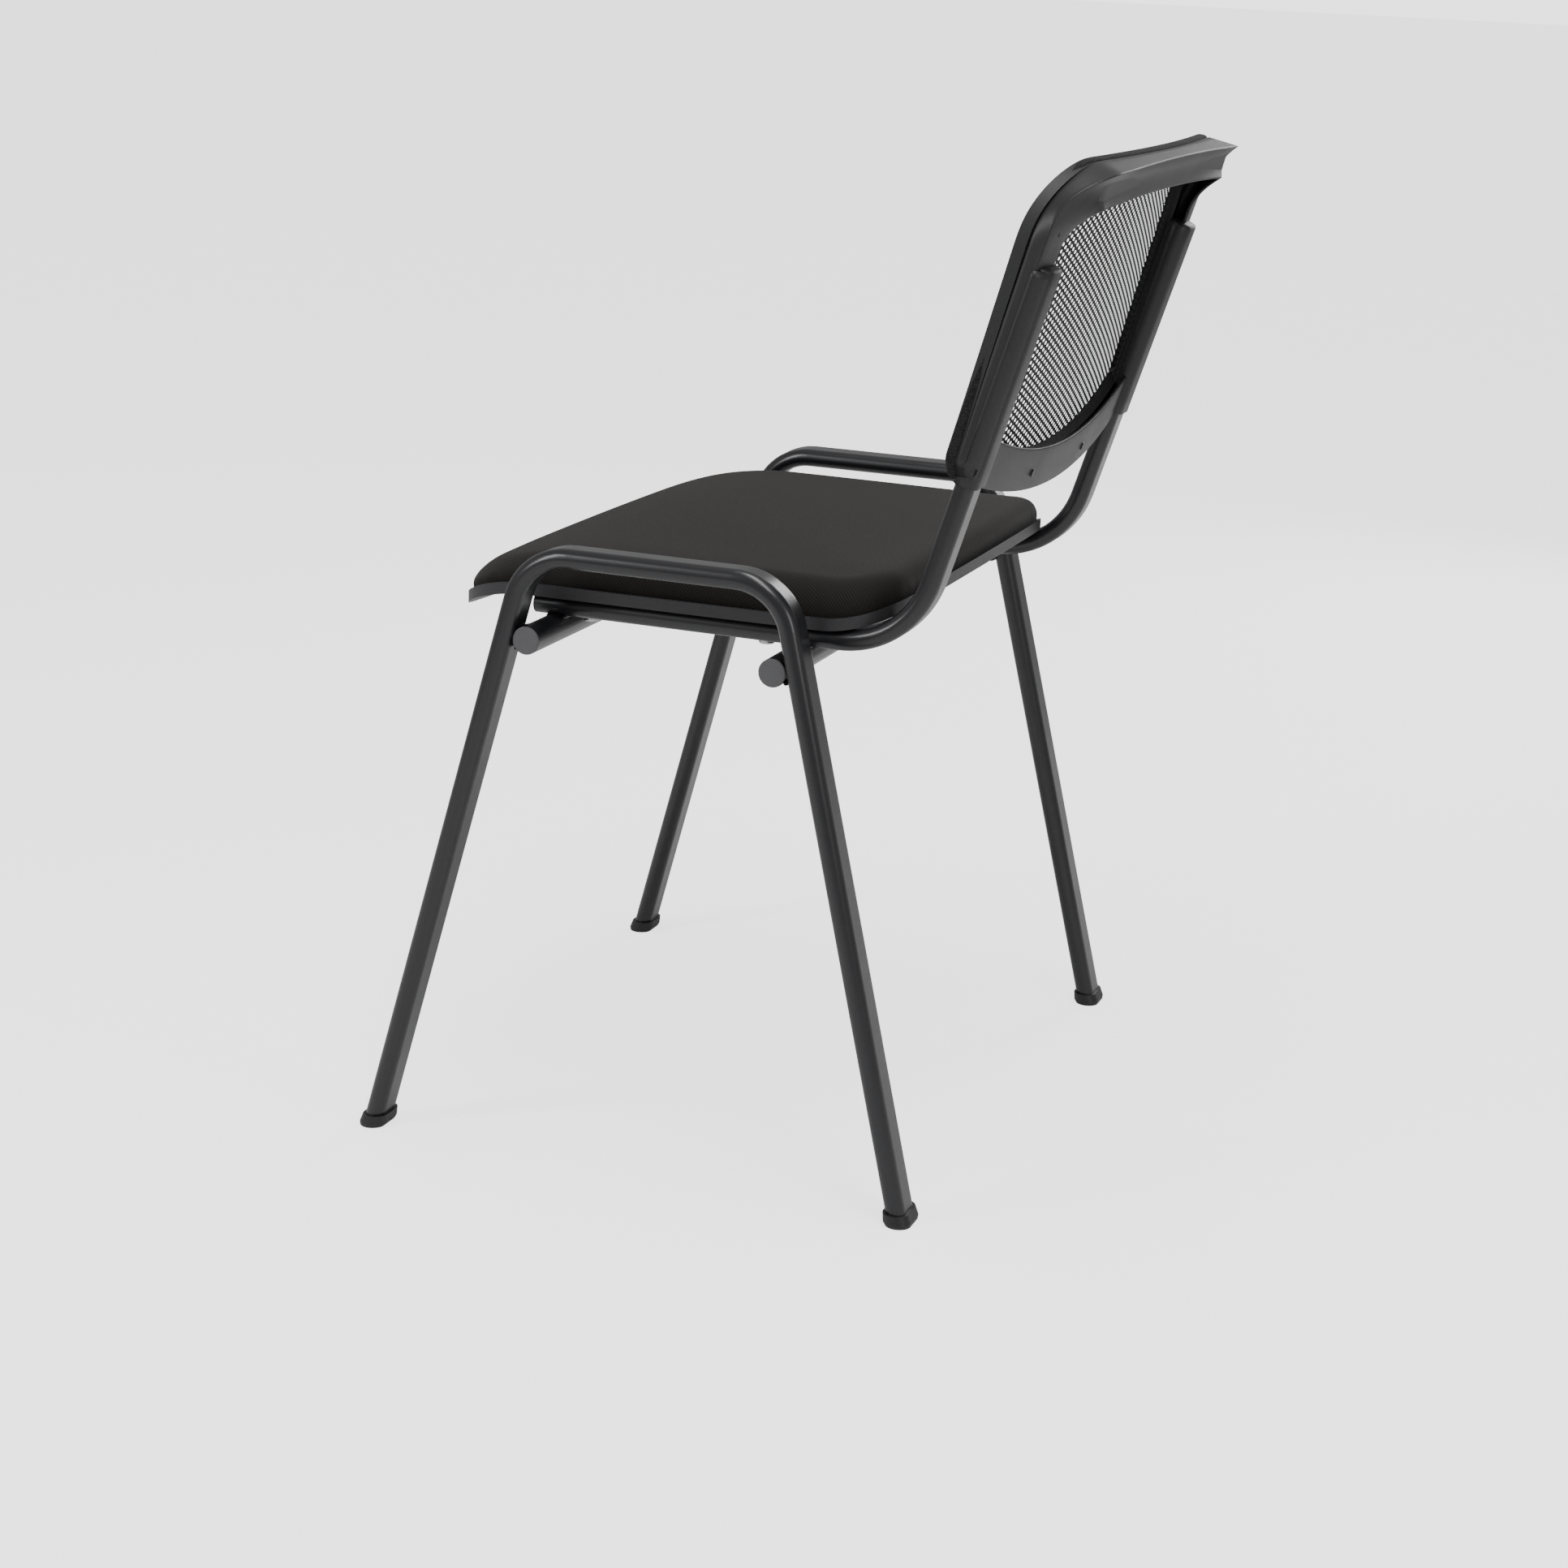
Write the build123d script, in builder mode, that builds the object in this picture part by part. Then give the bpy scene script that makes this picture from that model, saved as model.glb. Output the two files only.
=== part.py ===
"""A stacking chair: two inverted-U side frames, two cross tubes, two bent uprights,
an upholstered seat and a mesh back.

Millimetres. +Z is up, the sitter faces -Y and +X is the sitter's left. The origin is on the
floor, under the middle of the chair's overall width and length.
"""

from build123d import *
from math import asin, atan, cos, degrees, radians, sin, tan
import os

# ---------------------------------------------------------------- tube stock
TUBE_WIDE = 30.0          # flat-oval tube, across its wide way
TUBE_THIN = 15.0          # flat-oval tube, across its thin way
TUBE_WALL = 1.5
CROSS_R = 10.5            # round cross tubes
CAP_LIP = 1.6             # thickness of a cap or plug outside its tube
WELD_GAP = 0.1            # between a cross tube and the legs, filled by the weld

# ---------------------------------------------------------------- side frames
FRAME_Y = -40.3           # middle of the side frames, ahead of the origin
TOP_HALF_WIDTH = 252.4    # tube axis from the middle plane at the top
TOP_Z = 461.8             # tube axis height of the top run
TOP_HALF_LENGTH = 98.9    # from the middle to a bend's sharp corner
FOOT_HALF_WIDTH = 263.2   # tube axis from the middle plane at the floor end
FOOT_HALF_LENGTH = 214.6  # from the middle to a leg's floor end
LEG_END_Z = 3.0           # the tube stops here, inside its glide
LEG_BEND_R = 44.0

# ---------------------------------------------------------------- cross tubes and uprights
CROSS_Z = 398.0
CROSS_HALF_LENGTH = 262.0
UPRIGHT_X = 200.0
RUN_Z = 414.5             # axis of the upright tubes where they run under the seat
RUN_FRONT_Y = -112.0      # their front ends, from the middle of the side frames
BACK_TILT = 16.5          # degrees, leaning back
BACK_Y = 213.7            # where the back's slope passes BACK_Z, from the same middle
BACK_Z = 533.5
UPRIGHT_BEND_R = 70.0
UPRIGHT_TOP = 150.0       # end of the tube up the slope, measured from BACK_Z

# ---------------------------------------------------------------- seat
SEAT_HALF_WIDTH = 222.0
SEAT_FRONT_Y = -200.0     # middle of the front edge, from the middle of the side frames
SEAT_REAR_Y = 172.0
SEAT_CORNER_R = 70.0
SEAT_REAR_CORNER_R = 56.0
FRONT_BULGE = 20.0        # the front edge bows forward at the middle
REAR_BULGE = 8.0
SEAT_SIDE_IN = 5.0        # the sides pull in towards the rear
SEAT_FLAT = (-114.0, 114.0)   # the shell lies flat on the tubes between these
WATERFALL_R = 125.0       # its front rolls down
KICK_R = 110.0            # and its rear curls up
SHELL_WALL = 3.0
RIM_HEIGHT = 9.0
BOARD_THICK = 9.0
FOAM_THICK = 23.0
COVER_THICK = 1.2
FOAM_EDGE_R = 13.0
CUSHION_START = -60.0     # ahead of this the cushion's top slopes down
CUSHION_R = 290.0

# ---------------------------------------------------------------- seat fasteners
SEAT_SCREW_Y = (-72.0, 68.0)
SCREW_R = 3.0             # M6
SCREW_CLEAR_R = 3.3
HEAD_R = 6.0
HEAD_HEIGHT = 3.4
NUT_BARREL_R = 4.0
NUT_FLANGE_R = 9.0
NUT_FLANGE = 1.5

# ---------------------------------------------------------------- back, up its own slope
BACK_HALF_WIDTH = 225.0   # half width near the top
BACK_HALF_LOW = 227.0     # half width near the bottom
BACK_TOE = 5.0            # the bottom corners, up the slope from BACK_Z
BACK_HIGH = 242.0         # the top edge at the middle
BACK_TOP_DROP = 5.0       # the top edge is lower at the corners by this much
BACK_CHAMFER = 15.0       # a short diagonal cuts the bottom corners
BACK_BOTTOM = -22.0       # the bottom edge at the middle
BACK_CORNER_R = 64.0
DISH_R = 1950.0           # the back is curved in plan, deepest at the middle
DISH = 13.0               # depth of that curve
FACE_N = -22.3            # front face at the sides, behind (+) or ahead (-) of the uprights
SEAM_N = -12.9            # where the mesh carrier ends and the moulded frame begins
FACE_LEAN = 1.8           # degrees that these two lean back less than the uprights
RING_REAR_N = -0.2        # rear face of the moulded frame's sides
LIP_N = 24.5              # rear edge of its top bar, straight across
LIP_LOW_N = 20.5          # lower edge of the top bar's rear face
ROLL_START = 185.0        # above this height the face rolls back
ROLL_R = 140.0
RIM_WIDTH = 33.0          # width of the moulded frame's sides seen from behind
BAR_HEIGHT = 27.0         # height of its top bar
CARRIER_WIDTH = 27.0
MESH_THICK = 1.0
RING_WALL = 3.0
SLEEVE_WALL = 2.0
SLEEVE_GAP = 0.2          # between a sleeve and its upright
SLEEVE_LOW = 3.0
SLEEVE_HIGH = 165.0
SLEEVE_CROWN = 9.0        # solid top of a sleeve, above its upright

# ---------------------------------------------------------------- back fasteners
CARRIER_SCREWS = ((206.0, 199.0), (70.0, -5.0))   # across, up; both sides
CARRIER_SCREW_R = 2.0
CARRIER_HEAD_R = 3.5
CARRIER_HEAD = 1.8
BOSS_R = 5.0
SLEEVE_SCREW_UP = 17.0
SLEEVE_SCREW_N = 4.0
SLEEVE_SCREW_R = 2.0
SLEEVE_HEAD_R = 3.2
SLEEVE_HEAD = 1.6

os.makedirs("parts", exist_ok=True)


def save(name, part):
    """Label a finished piece and write it."""
    part.label = name
    export_step(part, f"parts/{name}.step")


def side_plane(x):
    """Upright plane at x: its own x is the chair's +Y from the frame's middle, its y is +Z."""
    return Plane(origin=(x, FRAME_Y, 0), x_dir=(0, 1, 0), z_dir=(1, 0, 0))


# ================================================================ side frames
splay = atan((FOOT_HALF_WIDTH - TOP_HALF_WIDTH) / (TOP_Z - LEG_END_Z))
leg_drop = (TOP_Z - LEG_END_Z) / cos(splay)
leg_run = FOOT_HALF_LENGTH - TOP_HALF_LENGTH
leg_slope = leg_run / leg_drop


def leg_plane(side):
    """The plane of one side frame, leaning out by the splay; its origin is at the top run."""
    return Plane(
        origin=(side * TOP_HALF_WIDTH, FRAME_Y, TOP_Z),
        x_dir=(0, 1, 0),
        z_dir=(cos(splay), 0, side * sin(splay)),
    )


def leg_frame(side):
    plane = leg_plane(side)
    with BuildPart() as frame:
        with BuildLine(plane) as path:
            FilletPolyline(
                (-FOOT_HALF_LENGTH, -leg_drop),
                (-TOP_HALF_LENGTH, 0),
                (TOP_HALF_LENGTH, 0),
                (FOOT_HALF_LENGTH, -leg_drop),
                radius=LEG_BEND_R,
            )
        with BuildSketch(Plane(path.line @ 0, x_dir=plane.z_dir, z_dir=path.line % 0)):
            SlotOverall(TUBE_WIDE, TUBE_THIN)
            SlotOverall(TUBE_WIDE - 2 * TUBE_WALL, TUBE_THIN - 2 * TUBE_WALL, mode=Mode.SUBTRACT)
        sweep(path=path.line)
    return frame.part


# ================================================================ glides
GLIDE_LONG = 37.0
GLIDE_SHORT = 21.5
GLIDE_HEIGHT = 9.5
SPIGOT_LENGTH = 28.0


def glide(side, end):
    """Floor shoe for one leg: end is -1 at the front and +1 at the rear."""
    plane = leg_plane(side)
    foot = plane.from_local_coords(Vector(end * FOOT_HALF_LENGTH, -leg_drop, 0))
    up = plane.from_local_coords(
        Vector(end * (FOOT_HALF_LENGTH - leg_run), 0, 0)
    ) - foot
    up = up.normalized()
    leg_end = Plane(foot, x_dir=plane.z_dir, z_dir=up)
    on_floor = foot + up * (-foot.Z / up.Z)
    on_top = foot + up * ((GLIDE_HEIGHT - foot.Z) / up.Z)
    with BuildPart() as shoe:
        with BuildSketch(Plane(on_floor)):
            SlotOverall(GLIDE_LONG - 2, GLIDE_SHORT - 2)
        with BuildSketch(Plane(on_floor + (on_top - on_floor) * 0.3)):
            SlotOverall(GLIDE_LONG, GLIDE_SHORT)
        with BuildSketch(Plane(on_top)):
            SlotOverall(GLIDE_LONG - 2, GLIDE_SHORT - 2)
        loft(ruled=True)
        with BuildSketch(leg_end):
            SlotOverall(TUBE_WIDE, TUBE_THIN)
        extrude(amount=2 * GLIDE_HEIGHT, mode=Mode.SUBTRACT)
        with BuildSketch(leg_end):
            SlotOverall(TUBE_WIDE - 2 * TUBE_WALL, TUBE_THIN - 2 * TUBE_WALL)
        extrude(amount=SPIGOT_LENGTH)
    return shoe.part


# ================================================================ cross tubes
def cross_y(end):
    """Where a cross tube lies against the inner face of the legs: end is -1 or +1."""
    lean = atan(leg_slope)
    leg_axis = TOP_HALF_LENGTH + leg_slope * (TOP_Z - CROSS_Z) / cos(splay)
    return end * (leg_axis - (TUBE_THIN / 2 + CROSS_R + WELD_GAP) / cos(lean))


def cross_tube(end):
    y = FRAME_Y + cross_y(end)
    with BuildPart() as tube:
        with BuildSketch(Plane(origin=(0, y, CROSS_Z), x_dir=(0, 1, 0), z_dir=(1, 0, 0))):
            Circle(CROSS_R)
            Circle(CROSS_R - TUBE_WALL, mode=Mode.SUBTRACT)
        extrude(amount=CROSS_HALF_LENGTH, both=True)
        # Saddles that the upright tubes are welded into.
        for side in (-1, 1):
            with BuildSketch(
                Plane(origin=(side * UPRIGHT_X, y, RUN_Z), x_dir=(1, 0, 0), z_dir=(0, 1, 0))
            ):
                SlotOverall(TUBE_WIDE, TUBE_THIN)
            extrude(amount=2 * CROSS_R, both=True, mode=Mode.SUBTRACT)
    return tube.part


CAP_SPIGOT = 14.0


def cross_cap(side, end):
    face = Plane(
        origin=(side * CROSS_HALF_LENGTH, FRAME_Y + cross_y(end), CROSS_Z),
        x_dir=(0, 1, 0),
        z_dir=(side, 0, 0),
    )
    with BuildPart() as cap:
        with BuildSketch(face):
            Circle(CROSS_R)
        extrude(amount=CAP_LIP)
        fillet(cap.faces().sort_by(Axis.X)[-1 if side > 0 else 0].edges(), radius=0.9)
        with BuildSketch(face):
            Circle(CROSS_R - TUBE_WALL)
        extrude(amount=-CAP_SPIGOT)
    return cap.part


# ================================================================ uprights
tilt = radians(BACK_TILT)
bend_y = BACK_Y - (BACK_Z - RUN_Z) * tan(tilt)      # sharp corner of run and slope


def slope_point(up):
    """A point on the upright's axis, up its slope from BACK_Z, as (y, z) on a side plane."""
    return (BACK_Y + up * sin(tilt), BACK_Z + up * cos(tilt))


def upright_tube(side):
    with BuildPart() as tube:
        with BuildLine(side_plane(side * UPRIGHT_X)) as path:
            FilletPolyline(
                (RUN_FRONT_Y, RUN_Z),
                (bend_y, RUN_Z),
                slope_point(UPRIGHT_TOP),
                radius=UPRIGHT_BEND_R,
            )
        with BuildSketch(Plane(path.line @ 0, x_dir=(1, 0, 0), z_dir=path.line % 0)):
            SlotOverall(TUBE_WIDE, TUBE_THIN)
            SlotOverall(TUBE_WIDE - 2 * TUBE_WALL, TUBE_THIN - 2 * TUBE_WALL, mode=Mode.SUBTRACT)
        sweep(path=path.line)
        with BuildSketch(*screw_places(RUN_Z + TUBE_THIN)):
            Circle(SCREW_CLEAR_R)
        extrude(amount=2 * TUBE_THIN, mode=Mode.SUBTRACT)
        with BuildSketch(*sleeve_screw_planes(UPRIGHT_X)):
            Circle(SLEEVE_SCREW_R + 0.2)
        extrude(amount=TUBE_WIDE, mode=Mode.SUBTRACT)
    return tube.part


def upright_plug(side):
    """Closes the front end of an upright tube."""
    face = Plane(
        origin=(side * UPRIGHT_X, FRAME_Y + RUN_FRONT_Y, RUN_Z), x_dir=(1, 0, 0), z_dir=(0, -1, 0)
    )
    with BuildPart() as plug:
        with BuildSketch(face):
            SlotOverall(TUBE_WIDE, TUBE_THIN)
        extrude(amount=CAP_LIP)
        fillet(plug.faces().sort_by(Axis.Y)[0].edges(), radius=0.9)
        with BuildSketch(face):
            SlotOverall(TUBE_WIDE - 2 * TUBE_WALL, TUBE_THIN - 2 * TUBE_WALL)
        extrude(amount=-CAP_SPIGOT)
    return plug.part


# ================================================================ seat
def seat_plan(inset):
    """The seat's outline seen from above, inset all round."""
    half = SEAT_HALF_WIDTH - inset
    rear_half = half - SEAT_SIDE_IN
    front = SEAT_FRONT_Y + FRONT_BULGE + inset
    rear = SEAT_REAR_Y - REAR_BULGE - inset
    with BuildSketch() as plan:
        with BuildLine():
            ThreePointArc((-half, front), (0, front - FRONT_BULGE), (half, front))
            Line((half, front), (rear_half, rear))
            ThreePointArc((rear_half, rear), (0, rear + REAR_BULGE), (-rear_half, rear))
            Line((-rear_half, rear), (-half, front))
        make_face()
        fillet(plan.vertices().group_by(Axis.Y)[0], radius=SEAT_CORNER_R - inset)
        fillet(plan.vertices().group_by(Axis.Y)[-1], radius=SEAT_REAR_CORNER_R - inset)
    return plan.sketch


def seat_layer(inset, low, high, soft=False):
    """One layer of the seat, following the shell's curve from front to rear.

    low and high are heights above the shell's underside. A soft layer's top slopes down to
    the front more gently than the shell.
    """
    start, end = SEAT_FLAT
    base = RUN_Z + TUBE_THIN / 2
    low_nose = (start, WATERFALL_R)
    high_nose = (CUSHION_START, CUSHION_R) if soft else low_nose
    rear_turn = degrees(asin((SEAT_REAR_Y - end) / KICK_R))
    with BuildPart() as layer:
        with BuildSketch(side_plane(-SEAT_HALF_WIDTH)):
            with BuildLine():
                fronts = []
                rears = []
                for height, (nose_start, nose_r) in ((low, low_nose), (high, high_nose)):
                    nose_turn = degrees(asin((nose_start - SEAT_FRONT_Y) / nose_r))
                    flat = Line((nose_start, base + height), (end, base + height))
                    nose = JernArc(flat @ 0, (-1, 0), nose_r, nose_turn)
                    tail = JernArc(flat @ 1, (1, 0), KICK_R, rear_turn)
                    fronts.append(nose @ 1)
                    rears.append(tail @ 1)
                Line(*fronts)
                Line(*rears)
            make_face()
        extrude(amount=2 * SEAT_HALF_WIDTH)
        with BuildSketch(Plane(origin=(0, FRAME_Y, base - 100))):
            add(seat_plan(inset))
        extrude(amount=200, mode=Mode.INTERSECT)
    return layer.part


def screw_places(height):
    """The four seat screws' centres, at a height, as planes that face down."""
    return [
        Plane(origin=(side * UPRIGHT_X, FRAME_Y + y, height), x_dir=(1, 0, 0), z_dir=(0, 0, -1))
        for side in (-1, 1)
        for y in SEAT_SCREW_Y
    ]


shell_floor = SHELL_WALL
board_top = shell_floor + BOARD_THICK
foam_top = board_top + FOAM_THICK
board_inset = SHELL_WALL + COVER_THICK + 0.6
tube_top = RUN_Z + TUBE_THIN / 2
tube_low = RUN_Z - TUBE_THIN / 2


def seat_shell():
    with BuildPart() as shell:
        add(seat_layer(0, 0, RIM_HEIGHT))
        add(seat_layer(SHELL_WALL, shell_floor, RIM_HEIGHT + 20), mode=Mode.SUBTRACT)
        with BuildSketch(*screw_places(tube_top + 2 * SHELL_WALL)):
            Circle(SCREW_CLEAR_R)
        extrude(amount=4 * SHELL_WALL, mode=Mode.SUBTRACT)
    return shell.part


def seat_board():
    with BuildPart() as board:
        add(seat_layer(board_inset, shell_floor, board_top))
        with BuildSketch(*screw_places(tube_top + board_top)):
            Circle(NUT_BARREL_R)
        extrude(amount=BOARD_THICK, mode=Mode.SUBTRACT)
        with BuildSketch(*screw_places(tube_top + board_top)):
            Circle(NUT_FLANGE_R)
        extrude(amount=NUT_FLANGE, mode=Mode.SUBTRACT)
    return board.part


def cushion_block(inset, low, high, edge):
    """A seat layer with its upper edge rounded."""
    with BuildPart() as block:
        add(seat_layer(inset, low, high, soft=True))
        top = block.faces().filter_by(lambda f: f.normal_at().Z > 0.5)
        rim = [e for e in block.edges() if len([f for f in top if e in f.edges()]) == 1]
        fillet(rim, radius=edge)
    return block.part


def seat_foam():
    return cushion_block(board_inset, board_top, foam_top, FOAM_EDGE_R)


def seat_cover():
    with BuildPart() as cover:
        add(
            cushion_block(
                board_inset - COVER_THICK, shell_floor, foam_top + COVER_THICK,
                FOAM_EDGE_R + COVER_THICK,
            )
        )
        add(cushion_block(board_inset, shell_floor, foam_top, FOAM_EDGE_R), mode=Mode.SUBTRACT)
    return cover.part


def seat_screws():
    shank = TUBE_THIN + SHELL_WALL + BOARD_THICK - 1
    with BuildPart() as screws:
        with BuildSketch(*screw_places(tube_low + shank)):
            Circle(SCREW_R)
        extrude(amount=shank)
        with BuildSketch(*screw_places(tube_low)):
            Circle(HEAD_R)
        extrude(amount=HEAD_HEIGHT)
        under = screws.faces().filter_by(Plane.XY).group_by(Axis.Z)[0]
        fillet(under.edges(), radius=1.6)
        with BuildSketch(*screw_places(tube_low - HEAD_HEIGHT + 2)):
            RegularPolygon(2.3, 6)
        extrude(amount=4, mode=Mode.SUBTRACT)
    return screws.part


def seat_nuts():
    """Tee nuts pressed into the board from above."""
    with BuildPart() as nuts:
        with BuildSketch(*screw_places(tube_top + board_top)):
            Circle(NUT_FLANGE_R)
            Circle(SCREW_R + 0.05, mode=Mode.SUBTRACT)
        extrude(amount=NUT_FLANGE)
        with BuildSketch(*screw_places(tube_top + board_top)):
            Circle(NUT_BARREL_R)
            Circle(SCREW_R + 0.05, mode=Mode.SUBTRACT)
        extrude(amount=BOARD_THICK)
    return nuts.part


# ================================================================ back
SLOPE_ORIGIN = (0, FRAME_Y + BACK_Y, BACK_Z)
REARWARD = (0, cos(tilt), -sin(tilt))
UP_SLOPE = (0, sin(tilt), cos(tilt))
# Seen from the front: local x is +X, local y is up the slope, local z is forward.
SLOPE = Plane(SLOPE_ORIGIN, x_dir=(1, 0, 0), z_dir=(0, -cos(tilt), sin(tilt)))
# Seen from the side: local x is rearward (the n of the dimensions), local y is up the slope.
PROFILE = Plane(SLOPE_ORIGIN, x_dir=REARWARD, z_dir=(1, 0, 0))
BEYOND = 60.0             # how far a cutting shape runs past the back
FLARE = 20.0              # height over which the sides run out to the top bar's lip
BAR_LOW = BACK_HIGH - BAR_HEIGHT   # lower edge of the top bar
DISH_ARC = 2 * degrees(asin((BACK_HALF_LOW + BEYOND) / DISH_R))


def back_outline(inset, top_inset=None):
    """The back's outline on its slope, inset all round, or by less at the top."""
    half_top = BACK_HALF_WIDTH - inset
    half_low = BACK_HALF_LOW - inset
    high = BACK_HIGH - (inset if top_inset is None else top_inset)
    shoulder = high - BACK_TOP_DROP
    toe = BACK_TOE + inset
    cut = max(BACK_CHAMFER - 0.6 * inset, 2.0)
    with BuildSketch() as outline:
        with BuildLine():
            ThreePointArc((-half_top, shoulder), (0, high), (half_top, shoulder))
            Polyline((half_top, shoulder), (half_low, toe + cut), (half_low - cut, toe))
            ThreePointArc((half_low - cut, toe), (0, BACK_BOTTOM + inset), (cut - half_low, toe))
            Polyline((cut - half_low, toe), (-half_low, toe + cut), (-half_top, shoulder))
        make_face()
        fillet(outline.vertices().group_by(Axis.Y)[-1], radius=max(BACK_CORNER_R - inset, 14))
        low = [v for v in outline.vertices() if v.Y < toe + cut + 1 and abs(v.X) > half_low / 2]
        fillet(low, radius=0.4 * cut)
    return outline.sketch


def dished(front, rear, lip=False):
    """A slab between two faces of the back, with its dish, lean and roll.

    front and rear are places along n at the sides, where the roll starts. With lip the rear
    face is the moulded frame's: straight up the sides, then out to the top bar's lip.
    """
    low = BACK_BOTTOM - BEYOND
    top = BACK_HIGH + 3
    lean = radians(FACE_LEAN)
    lean_low = (ROLL_START - low) * tan(lean)
    roll_turn = degrees(asin((top - ROLL_START) / ROLL_R))
    upward = (-sin(lean), cos(lean))
    with BuildPart() as slab:
        with BuildSketch(PROFILE):
            with BuildLine():
                face = Line((front + DISH + lean_low, low), (front + DISH, ROLL_START))
                roll = JernArc(face @ 1, upward, ROLL_R, -roll_turn)
                if lip:
                    rear_edge = Polyline(
                        (rear + DISH, low),
                        (rear + DISH, BAR_LOW - FLARE),
                        (rear + DISH + LIP_N - RING_REAR_N, BAR_LOW),
                        (rear + DISH + LIP_N - RING_REAR_N, top),
                    )
                    Line(rear_edge @ 1, roll @ 1)
                    Line(face @ 0, rear_edge @ 0)
                else:
                    rear_face = Line((rear + DISH + lean_low, low), (rear + DISH, ROLL_START))
                    rear_roll = JernArc(rear_face @ 1, upward, ROLL_R, -roll_turn)
                    Line(rear_roll @ 1, roll @ 1)
                    Line(face @ 0, rear_face @ 0)
            make_face()
        axis_at = PROFILE.from_local_coords(Vector(FACE_N + DISH - DISH_R, 0, 0))
        revolve(axis=Axis(axis_at, UP_SLOPE), revolution_arc=DISH_ARC)
    slab = slab.part.rotate(Axis(axis_at, UP_SLOPE), -DISH_ARC / 2)
    return slab & straight_rear(rear - RING_REAR_N) if lip else slab


def straight_rear(shift):
    """All that lies ahead of the top bar's rear face, which is straight across the back."""
    slant = (LIP_N - LIP_LOW_N) / BAR_HEIGHT
    with BuildPart() as block:
        with BuildSketch(PROFILE):
            Polygon(
                (-BEYOND, BACK_BOTTOM - BEYOND),
                (LIP_N + shift, BACK_BOTTOM - BEYOND),
                (LIP_LOW_N - slant * FLARE + shift, BAR_LOW - FLARE),
                (LIP_N + slant * 3 + shift, BACK_HIGH + 3),
                (-BEYOND, BACK_HIGH + 3),
                align=None,
            )
        extrude(amount=BACK_HALF_LOW + BEYOND, both=True)
    return block.part


def plate(sketch):
    """A sketch on the slope, run through the whole depth of the back."""
    with BuildPart() as block:
        with BuildSketch(SLOPE):
            add(sketch)
        extrude(amount=BEYOND + 20, both=True)
    return block.part


def upright_envelope(margin, low, high):
    """The space of both uprights on the slope, grown by a margin."""
    with BuildPart() as space:
        with BuildSketch(slope_at(low)):
            with Locations((-UPRIGHT_X, 0), (UPRIGHT_X, 0)):
                SlotOverall(TUBE_WIDE + 2 * margin, TUBE_THIN + 2 * margin)
        extrude(amount=high - low)
    return space.part


def sleeve_space():
    """What the mesh and its carrier leave free for the sleeves and the uprights below them."""
    with BuildPart() as space:
        add(upright_envelope(SLEEVE_GAP + SLEEVE_WALL + 0.1, SLEEVE_LOW - 0.1, SLEEVE_HIGH + 0.1))
        add(upright_envelope(SLEEVE_GAP, BACK_BOTTOM - BEYOND, SLEEVE_LOW))
    return space.part


def slope_at(up):
    """A plane square to the uprights at a height up the slope; local y is forward."""
    origin = PROFILE.from_local_coords(Vector(0, up, 0))
    return Plane(origin, x_dir=(1, 0, 0), z_dir=UP_SLOPE)


def carrier_screw_planes(n):
    """Planes at the carrier screws that face rearward, at a place along n."""
    planes = []
    for across, up in CARRIER_SCREWS:
        for side in (-1, 1):
            at = PROFILE.from_local_coords(Vector(n, up, side * across))
            planes.append(Plane(at, x_dir=(1, 0, 0), z_dir=REARWARD))
    return planes


def sleeve_screw_planes(across):
    """Planes at the sleeve screws that face outward, at a distance from the middle."""
    planes = []
    for side in (-1, 1):
        at = PROFILE.from_local_coords(Vector(SLEEVE_SCREW_N, SLEEVE_SCREW_UP, side * across))
        planes.append(Plane(at, x_dir=REARWARD, z_dir=(side, 0, 0)))
    return planes


def back_frame():
    with BuildPart() as frame:
        add(dished(SEAM_N, RING_REAR_N, lip=True))
        add(plate(back_outline(0)), mode=Mode.INTERSECT)
        inside = dished(SEAM_N - 5, RING_REAR_N - RING_WALL, lip=True)
        add(inside & plate(back_outline(RING_WALL)), mode=Mode.SUBTRACT)
        add(carrier_bosses())
        add(plate(back_outline(RIM_WIDTH, BAR_HEIGHT)), mode=Mode.SUBTRACT)
        add(upright_envelope(SLEEVE_GAP + SLEEVE_WALL, SLEEVE_LOW, SLEEVE_HIGH))
        bore_top = SLEEVE_HIGH - SLEEVE_CROWN
        add(upright_envelope(SLEEVE_GAP, BACK_BOTTOM - BEYOND, bore_top), mode=Mode.SUBTRACT)
        with BuildSketch(*carrier_screw_planes(SEAM_N - 10)):
            Circle(CARRIER_SCREW_R + 0.2)
        extrude(amount=BEYOND, mode=Mode.SUBTRACT)
        with BuildSketch(*sleeve_screw_planes(UPRIGHT_X)):
            Circle(SLEEVE_SCREW_R + 0.2)
        extrude(amount=2 * TUBE_WIDE, mode=Mode.SUBTRACT)
    return frame.part


def carrier_bosses():
    """Pillars behind the carrier that its screws run through."""
    with BuildPart() as bosses:
        with BuildSketch(*carrier_screw_planes(SEAM_N - 10)):
            Circle(BOSS_R)
        extrude(amount=BEYOND)
        add(dished(SEAM_N, RING_REAR_N, lip=True), mode=Mode.INTERSECT)
        add(plate(back_outline(RING_WALL)), mode=Mode.INTERSECT)
    return bosses.part


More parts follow.
